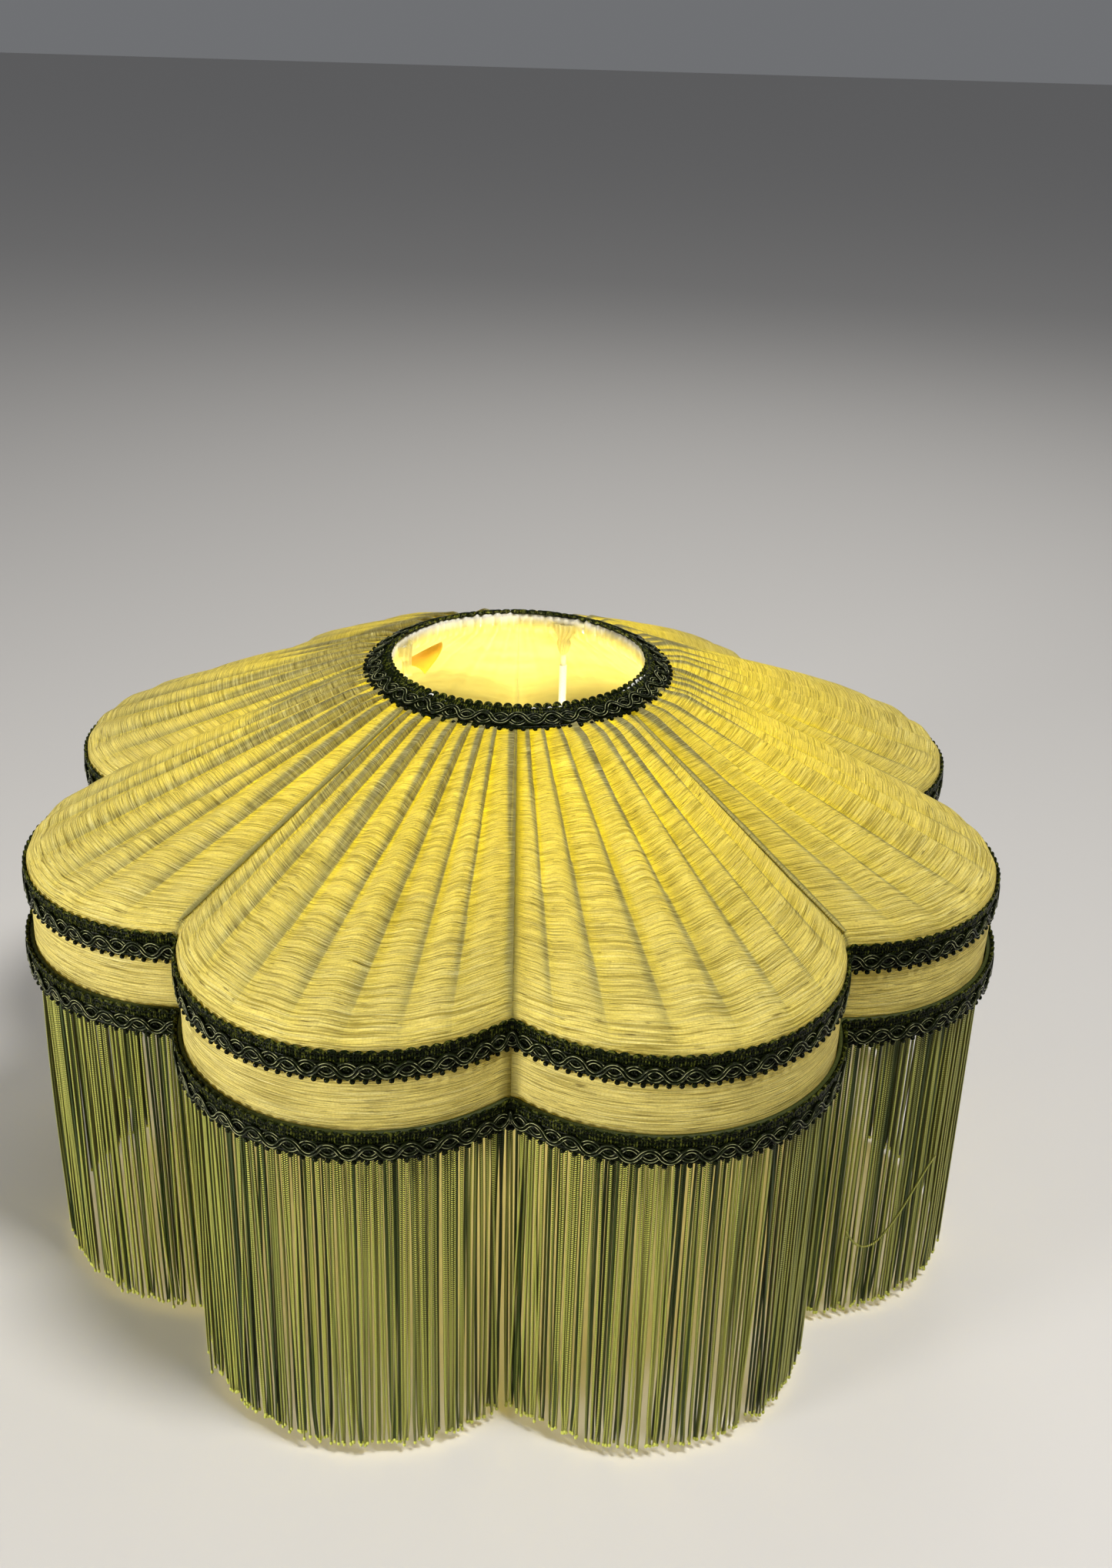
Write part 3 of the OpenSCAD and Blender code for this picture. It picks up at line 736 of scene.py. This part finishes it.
def collar_panel(index):
    """One lobe of the plain collar, stretched flat between the two gimps."""
    rng = Random(200 + index)
    cols, rows = 90, 16
    across, down = np.meshgrid(np.linspace(0, 1, cols + 1), np.linspace(0, 1, rows + 1))
    s = index + np.clip(across, 1e-6, 1 - 1e-6)
    low, high = z_range(f"collar_panel_{index + 1}")
    z = high + (low - high) * down
    out = wrinkles(s, down, rng, 0.16 * MM) * np.sin(np.pi * down)
    grid = edge_point(s, out, z)
    uv = np.stack([s * edge.lobe_length, 0.2 - z], -1)
    # Painted shade, darker towards each notch where the panels meet over the frame.
    off_notch = np.minimum(across, 1 - across) * edge.lobe_length
    seam_shade_and_fray = 0.55 * np.exp(-((off_notch / (3.2 * MM)) ** 2))
    zero = np.zeros_like(s)
    piece = cloth(f"collar_{index + 1}", grid, COVER, CLOTH, uv,
                  {"layers": zero, "seam_shade_and_fray": seam_shade_and_fray, "glow": zero})
    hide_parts(f"collar_panel_{index + 1}")
    return piece


# -------------------- gimp braid

# About the length of one oval of the plait, and of one loop of the edge
OVAL = 6.5 * MM
LOOP = 4.2 * MM
CORD_R = 0.54 * MM
# Middle of the plait, below the middle of the braid, and how far its cords swing each way
PLAIT_Y = -1.0 * MM
PLAIT_SWING = 2.3 * MM
# Half the distance between the two cords of a pair
HALF_PAIR = 0.57 * MM
# How far the braid of the top gimp is let into the CAD's band
FLAT_BRAID = 1.6 * MM
# Three beads that fill the eye of each oval: along, up and size in mm
EYE_BEADS = ((-0.75, 0.25, 0.7), (0.65, -0.35, 0.75), (0.05, 0.45, 0.6))


def upright_band(z_middle, out):
    """Places braid points (along, up, proud) on the scalloped edge, standing upright."""
    def place(x, y, n):
        return edge_point(np.mod(x / edge.lobe_length, LOBES), out + n, z_middle + y)
    return place, LOBES * edge.lobe_length


def sloping_band():
    """Places braid points on the cone of the top gimp; up is towards the shade's axis."""
    radii, _ = plan_radii("top_gimp")
    heights = node_points("top_gimp")[:, 2]
    high = np.array([radii[heights > heights.max() - 0.1 * MM].max(), heights.max()])
    low = np.array([radii.max(), heights[radii > radii.max() - 0.1 * MM].max()])
    middle, up = (low + high) / 2, unit(high - low)
    proud = np.array([up[1], -up[0]])
    length = 2 * np.pi * middle[0]

    def place(x, y, n):
        r = middle[0] + up[0] * y + proud[0] * (n - FLAT_BRAID)
        z = middle[1] + up[1] * y + proud[1] * (n - FLAT_BRAID)
        angle = FIRST_NOTCH + x / middle[0]
        return np.stack([r * np.cos(angle), r * np.sin(angle), z], -1)
    return place, length


def braid(name, band, node):
    """Gimp: two pairs of cords plaited into ovals, over a ribbed heading with a picot edge."""
    place, length = band
    rng = Random(name)
    work = Strands()

    def outward(x, y, n):
        return unit(place(x, y, n + 0.1 * MM) - place(x, y, n))

    def frame_axes(x, y, n):
        along = unit(place(x + 0.1 * MM, y, n) - place(x - 0.1 * MM, y, n))
        proud = outward(x, y, n)
        return np.stack([along, np.cross(proud, along), proud], 1)

    def tubes(x, y, n, radius, sides=5, closed=False, tone=1.0):
        x, y, n = np.broadcast_arrays(x, y, n)
        work.tubes(place(x, y, n), outward(x, y, n), radius, sides, closed, tone)

    def bead_row(x, y, n, radii, tone=0.0):
        y, n = np.full(len(x), y), np.full(len(x), n)
        work.beads(place(x, y, n), frame_axes(x, y, n), np.array(radii) * MM, tone)

    ovals = 2 * round(length / OVAL / 2)
    pitch = length / ovals
    half_w = GIMP_W / 2
    x = np.linspace(0, length, ovals * 14, endpoint=False)
    for side, lift in ((1, 0.45 * MM), (-1, -0.25 * MM)):
        swing = np.cos(np.pi * x / pitch)
        y = side * PLAIT_SWING * np.sign(swing) * np.abs(swing) ** 0.8
        slope = np.gradient(y, x)
        across = np.stack([-slope, np.ones_like(slope)], -1) / np.hypot(slope, 1)[:, None]
        for lane in (-1, 1):
            shift = lane * HALF_PAIR * across
            tubes((x + shift[:, 0])[None], (PLAIT_Y + y + shift[:, 1])[None],
                  np.full((1, len(x)), 0.95 * MM + lift), CORD_R, sides=8, closed=True)

    eyes = (np.arange(ovals) + rng.uniform(-0.02, 0.02)) * pitch
    for dx, dy, size in EYE_BEADS:
        bead_row(eyes + dx * MM, PLAIT_Y + dy * MM, 0.7 * MM, (0.85 * size, size, 0.6))

    heading_low, heading_high = PLAIT_Y + 2.7 * MM, half_w - 0.9 * MM
    loops = round(length / LOOP)
    threads = 4 * loops
    tx = (np.arange(threads) - 1.5) * length / threads
    pull = np.array([0.14, 0.0, 0.0, -0.14])[np.arange(threads) % 4] * MM
    jitter = np.array([rng.uniform(-1, 1) for _ in range(threads)])
    rise = np.linspace(0, 1, 4)
    tubes((tx + pull)[:, None] + jitter[:, None] * rise * 0.3 * MM,
          heading_low + (heading_high - heading_low) * rise[None],
          0.35 * MM + 0.35 * MM * np.sin(np.pi * rise)[None], 0.40 * MM, tone=0.4)

    lx = np.arange(loops) * length / loops
    turn = np.linspace(-0.25, np.pi + 0.25, 9)
    wobble = np.array([rng.uniform(0.85, 1.15) for _ in range(loops)])[:, None]
    tubes(lx[:, None] + 1.45 * MM * np.cos(turn),
          heading_high - 0.2 * MM + 1.15 * MM * wobble * np.sin(turn),
          0.75 * MM + 0.25 * MM * np.sin(turn), 0.52 * MM, sides=6, tone=0.5)
    bead_row(lx, heading_high + 0.1 * MM, 0.5 * MM, (1.25, 1.05, 0.55), 0.4)

    picots = (np.arange(loops) + 0.5) * length / loops
    bead_row(picots, -half_w + 0.85 * MM, 0.75 * MM, (1.02, 0.98, 0.85))
    between = (np.arange(2 * loops) + 0.25) * length / (2 * loops)
    bead_row(between, -half_w + 1.45 * MM, 0.45 * MM, (0.6, 0.5, 0.5))

    back = np.linspace(0, length, ovals * 8, endpoint=False)
    for y in np.linspace(-half_w + 2.1 * MM, heading_high - 0.9 * MM, 7):
        tubes(back[None], y, 0.15 * MM, 0.85 * MM, closed=True, tone=0.0)

    piece = work.piece(name, GIMP)
    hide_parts(node)
    return piece


# -------------------- fringe

STRANDS_A_LOBE = 146
STRANDS_IN_NOTCH = 5
STRAND_POINTS = 26
STRAND_R = 0.53 * MM
# The strands hang inside the scalloped edge, and the ones in painted shade further in
FRINGE_OUT = -1.2 * MM
SET_BACK = 0.9 * MM
# The strands start this far up behind the lower gimp
FRINGE_LAP = 2.0 * MM
STRAY_SHARE = 0.05
DRIFT_WAVES = 7
# One loose strand hangs in a loop on this lobe
LOOSE_LOOP_LOBE = 1
LOOSE_LOOP_TONE = 0.134


def drift(along):
    """How far neighbouring strands drift together to the side by their lower ends."""
    rng = Random("fringe drift")
    turn = 2 * np.pi * along / (LOBES * edge.lobe_length)
    total = 0
    for _ in range(DRIFT_WAVES):
        waves, phase = rng.randrange(46, 190), rng.uniform(0, 2 * math.pi)
        total = total + rng.uniform(0.14, 0.40) * MM * np.sin(waves * turn + phase)
    return total


def fringe_skirt(index):
    """Chainette strands that hang straight from one lobe."""
    rng = np.random.default_rng(400 + index)
    along = (index + (np.arange(STRANDS_A_LOBE) + 0.5) / STRANDS_A_LOBE) * edge.lobe_length
    in_notch = index * edge.lobe_length + np.linspace(-1, 1, STRANDS_IN_NOTCH) * NOTCH_FILLET
    along = np.concatenate([along, in_notch])
    count = len(along)
    along = along + rng.uniform(-0.25, 0.25, count) * MM
    t = np.linspace(0, 1, STRAND_POINTS)[None]

    def pick(low, high):
        return rng.uniform(low, high, count)[:, None]

    def normal(size):
        return rng.normal(0, size, count)[:, None]

    stray = (rng.uniform(0, 1, count) < STRAY_SHARE)[:, None]
    side = drift(along)[:, None] * t ** 1.2 + normal(0.40 * MM) * t
    side = side + normal(0.24 * MM) * np.sin(np.pi * t)
    side = side + stray * pick(-6, 6) * MM * t ** 1.3
    side = side + normal(0.9 * MM) * np.clip(t - 0.9, 0, 1) * 5
    tone = rng.uniform(0, 1, count)
    behind = np.mod(tone * TONE_TURNS, 1)[:, None] < SHARE_BEHIND
    out = FRINGE_OUT - behind * SET_BACK + pick(-0.7, 0.8) * MM + normal(0.5 * MM) * t
    out = out + stray * 0.9 * MM * np.sin(np.pi * t)
    out = out + pick(-0.5, 0.3) * MM * np.sin(1.7 * np.pi * t)
    top = LOWER_LOW + FRINGE_LAP
    low = FRINGE_LOW + pick(0.2, 3.2) * MM - stray * pick(-1, 1) * 2 * MM
    z = top + (np.maximum(low, FRINGE_LOW) - top) * t
    place = np.mod((along[:, None] + side) / edge.lobe_length, LOBES)
    xy, outward = edge.at(place, out)
    paths = np.concatenate([xy, z[..., None]], -1)
    ups = np.concatenate([outward, np.zeros(z.shape + (1,))], -1)
    thick = STRAND_R * rng.uniform(0.86, 1.12, count)[:, None] * (1 - 0.25 * (t > 0.985))
    work = Strands()
    work.tubes(paths, ups, thick, value=tone)
    way = unit(paths[:, -1] - paths[:, -2])
    level = unit(np.cross(way, ups[:, -1]))
    axes = np.stack([level, np.cross(level, way), way], 1)
    work.beads(paths[:, -1], axes, (0.66 * MM, 0.66 * MM, 1.0 * MM), value=0.60, uv=(0.25, 0.0))
    if index == LOOSE_LOOP_LOBE:
        turn = np.linspace(0, 1, 30)
        xy, outward = edge.at(index + 0.33 - 0.25 * turn, 2.0 * MM)
        z = top + (FRINGE_LOW - top) * (0.50 + 0.24 * np.sin(0.75 * np.pi * turn ** 1.5))
        loop = np.concatenate([xy, z[:, None]], -1)[None]
        ups = np.concatenate([outward, 0 * z[:, None]], -1)[None]
        work.tubes(loop, ups, 0.5 * MM, value=LOOSE_LOOP_TONE)
    piece = work.piece(f"fringe_{index + 1}", FRINGE)
    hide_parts(f"fringe_skirt_{index + 1}")
    return piece


def heading():
    """The woven tape that holds the strands, behind the lower gimp."""
    low, high = z_range("fringe_heading")
    s = np.linspace(0, LOBES, LOBES * 60, endpoint=False)
    inner, outer = 0.5 * MM, 1.8 * MM
    rows = ((high, inner), (high, outer), (low, outer), (low, inner))
    grid = np.array([edge_point(s, out, z) for z, out in rows])
    uv = cloth_uv(s, np.array([0, 1.3, 12, 13]) * MM)
    piece = cloth("fringe_heading_tape", grid, HEADING, 0.4 * MM, uv, wrap=True)
    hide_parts("fringe_heading")
    return piece


# -------------------- lining and arm wraps

# Radius and height in mm of the lining's turn over the top ring, from its frayed edge down
LINING_TOP = ((54.2, 69.2), (53.2, 69.0), (52.8, 68.2), (52.75, 66.6), (52.75, 65.0), (53.1, 63.4),
              (53.9, 61.8))
LINING_GATHERS = 9
# The lining's cut edge is frayed about this far down, more or less with the gathers
FRAYED = 4.2 * MM
FRAYED_MORE = 0.4 * MM
ARM_WRAP_L = 14 * MM


def lining_panel(index):
    """One lobe of the lining, gathered at the top ring and drawn to the lower scalloped ring."""
    rng = Random(500 + index)
    cols, rows = 100, 34
    s = index + np.linspace(1e-6, 1 - 1e-6, cols + 1)
    low = z_range(f"lining_panel_{index + 1}")[0]
    head = [ring_point(s, r * MM, z * MM) for r, z in LINING_TOP]
    foot = edge_point(s, -6.0 * MM, low)
    down = np.linspace(0, 1, rows + 1)[1:]
    body = [head[-1] + (foot - head[-1]) * d for d in down]
    grid = np.array(head + body)
    level = np.concatenate([np.linspace(0.2, 0, len(head)), down])[:, None]
    normal = grid_normals(grid)
    waves = np.zeros(grid.shape[:2])
    for _ in range(5):
        beat = rng.uniform(LINING_GATHERS - 4, LINING_GATHERS + 5)
        phase = rng.uniform(0, 6.28)
        waves = waves + np.sin(2 * np.pi * beat * (s - index) + phase + rng.uniform(-1, 1) * level)
    at_seam = np.clip(np.minimum(s - index, index + 1 - s) * 20, 0, 1)
    size = 0.28 * MM * np.exp(-((level / 0.55) ** 2)) + 0.05 * MM
    sag = -1.3 * MM * np.sin(np.pi * np.clip(level, 0, 1)) ** 2
    sag = sag + wrinkles(0.3 * s, 3.2 * level, rng, 1.1 * MM) * np.clip(level * 4, 0, 1)
    grid = grid + normal * ((waves * size + sag) * at_seam)[..., None]
    steps = np.linalg.norm(np.diff(grid[:, cols // 2], axis=0), axis=-1)
    length = np.concatenate([[0], np.cumsum(steps)])
    frayed = np.exp(-((length[:, None] / (FRAYED + FRAYED_MORE * waves)) ** 4))
    piece = cloth(f"lining_{index + 1}", grid, LINING, 0.3 * MM, cloth_uv(s, length),
                  {"seam_shade_and_fray": frayed})
    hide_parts(f"lining_panel_{index + 1}")
    return piece


def along_arm(index, out, side, z):
    """Points out from the axis along a fitter arm, side metres off it, at height z."""
    low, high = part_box(f"arm_wrap_{index + 1}")
    facing = math.atan2(low[1] + high[1], low[0] + high[0])
    xy = _turned(np.stack([out, side], -1), facing)
    return np.concatenate([xy, z[..., None]], -1)


def arm_wrap(index):
    """A strip of lining cloth bunched round the top of a fitter arm and tucked in below."""
    radius = plan_radii(f"arm_wrap_{index + 1}")[0]
    inner, top = radius.min() - 0.9 * MM, RING_Z + 2.2 * MM
    down, across = np.meshgrid(np.linspace(0, 1, 34), np.linspace(-1, 1, 41), indexing="ij")
    waist = 1.1 * MM * np.exp(-(((down - 0.5) / 0.12) ** 2))
    half = 4.6 * MM * (1 - down) ** 0.7 + 1.3 * MM - waist
    ruffle = 0.55 * MM * np.sin(15 * across + 2.5 * np.sin(5 * down + index)) * (1 - 0.7 * down)
    r = inner + 3.2 * MM * np.abs(across) ** 1.7 * (1 - 0.3 * down) + ruffle
    side = across * half + 0.9 * MM * (down - 0.4) * math.sin(2.1 * index + 1)
    z = top - ARM_WRAP_L * down
    grid = along_arm(index, r, side, z)[:, ::-1]
    uv = np.stack([side, down * ARM_WRAP_L], -1)[:, ::-1]
    zero = np.zeros(grid.shape[:2])
    piece = cloth(f"wrap_{index + 1}", grid, LINING, 0.35 * MM, uv, {"seam_shade_and_fray": zero})
    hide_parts(f"arm_wrap_{index + 1}")
    return piece


def loose_end(index):
    """The loose end of one arm's wrap: a pointed leaf of lining cloth that stands into the opening,
    painted orange as a painted glow of the lamp.

    It is shaped in mm: out from the axis along the arm, sideways, and up.
    """
    down, across = np.meshgrid(np.linspace(0, 1, 22), np.linspace(0, 1, 22), indexing="ij")
    hinge = np.array([50.0, 0, 61.0]) + np.array([-0.5, 0, -3.0]) * down[..., None]
    free = np.array([35.5, -1.0, 70.5]) + np.array([7.0, 1.5, -15.0]) * down[..., None] ** 1.6
    free = free + np.array([-1.8, 0, 0]) * np.sin(np.pi * down[..., None])
    belly = np.sin(np.pi * across) * np.sin(np.pi * (0.15 + 0.7 * down))
    local = hinge + (free - hinge) * across[..., None]
    local = local + belly[..., None] * np.array([-1.0, -2.2, 0.6])
    grid = along_arm(index, *np.moveaxis(local * MM, -1, 0))
    uv = np.stack([across, down], -1) * ARM_WRAP_L
    piece = cloth(f"wrap_{index + 1}_end", grid, WRAP_PAINTED_GLOW, 0.35 * MM, uv,
                  {"seam_shade_and_fray": np.zeros(across.shape)})
    return piece


# -------------------- build

ARMS = 4
LOOSE_ARM = 2
lobes = range(LOBES)
crowns = [crown_panel(i) for i in lobes]
seams = {i: rib_seam(i) for i in lobes if i != FOLDED_RIB}
collars = [collar_panel(i) for i in lobes]
fringes = [fringe_skirt(i) for i in lobes]
fringe_heading = heading()
linings = [lining_panel(i) for i in lobes]
wraps = [arm_wrap(i) for i in range(ARMS)] + [loose_end(LOOSE_ARM)]
upper_gimp = braid("gimp_upper", upright_band((UPPER_LOW + UPPER_TOP) / 2, 0.2 * MM), "upper_gimp")
lower_gimp = braid("gimp_lower", upright_band((LOWER_LOW + LOWER_TOP) / 2, 2.2 * MM), "lower_gimp")
top_gimp = braid("gimp_top", sloping_band(), "top_gimp")

CAD_FINISH = {
    "top_ring": WIRE, "upper_scallop_ring": WIRE, "lower_scallop_ring": WIRE, "rib_": WIRE,
    "fitter_arm_": FITTER, "fitter_ring": FITTER, "top_ring_tape": TAPE, "scallop_ring_tapes": TAPE,
    "rib_tapes": TAPE, "arm_tapes": TAPE,
}
for name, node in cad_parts.items():
    finish = CAD_FINISH.get(name) or CAD_FINISH.get(name.rstrip("0123456789"))
    if finish is not None:
        node.data.materials.clear()
        node.data.materials.append(finish)


# -------------------- camera, light and floor

CAMERA_PLACE = (-0.0008, -0.6434, 0.3263)
# In degrees: to the right of straight on, down from level, and about the line of sight
YAW_PITCH_ROLL = (1.58, 25.97, 1.76)
# In mm
LENS, SENSOR = 38.66, 36.0
FLOOR_GAP = 4 * MM
FLOOR_HALF = 9.0


def camera():
    data = bpy.data.cameras.new("camera")
    data.lens, data.sensor_width, data.sensor_fit = LENS, SENSOR, "AUTO"
    item = bpy.data.objects.new("camera", data)
    bpy.context.scene.collection.objects.link(item)
    yaw, pitch, roll = (math.radians(v) for v in YAW_PITCH_ROLL)
    turn = Matrix.Rotation(-yaw, 4, "Z") @ Matrix.Rotation(math.pi / 2 - pitch, 4, "X")
    turn = turn @ Matrix.Rotation(roll, 4, "Z")
    item.matrix_world = Matrix.Translation(CAMERA_PLACE) @ turn
    bpy.context.scene.camera = item


def area_light(name, place, target, size, power, colour):
    """A round lamp, size metres across, aimed at target; the camera doesn't see it."""
    data = bpy.data.lights.new(name, "AREA")
    data.shape, data.size, data.energy, data.color = "DISK", size, power, colour
    item = bpy.data.objects.new(name, data)
    item.location, item.visible_camera = place, False
    item.rotation_euler = (Vector(target) - Vector(place)).to_track_quat("-Z", "Y").to_euler()
    bpy.context.scene.collection.objects.link(item)


def floor():
    half, z = FLOOR_HALF, cad_box[0][2] - FLOOR_GAP
    corners = [(x * half, y * half, z) for x, y in ((-1, -1), (1, -1), (1, 1), (-1, 1))]
    mesh = bpy.data.meshes.new("floor")
    mesh.from_pydata(corners, [], [(0, 1, 2, 3)])
    item = bpy.data.objects.new("floor", mesh)
    mesh.materials.append(floor_material())
    bpy.context.scene.collection.objects.link(item)


camera()
area_light("key", (-1.3, -0.95, 0.10), (0, 0, -0.07), 0.42, 25, (1.0, 0.97, 0.92))
area_light("top", (0.5, -0.5, 1.4), (0, 0, 0), 0.4, 25, (1.0, 0.98, 0.94))
area_light("back", (0.3, 1.3, 1.1), (0, 0, 0), 1.0, 5, (1.0, 0.98, 0.94))
area_light("lamp", (0, 0, -0.08), (0, 0, 1), 0.09, 1.20, (1.0, 0.94, 0.48))
floor()
world = bpy.data.worlds.new("room")
world.use_nodes = True
sky = world.node_tree.nodes["Background"].inputs
sky["Color"].default_value = (0.80, 0.82, 0.86, 1)
sky["Strength"].default_value = 0.20
bpy.context.scene.world = world
bpy.context.scene.view_settings.view_transform = "Standard"
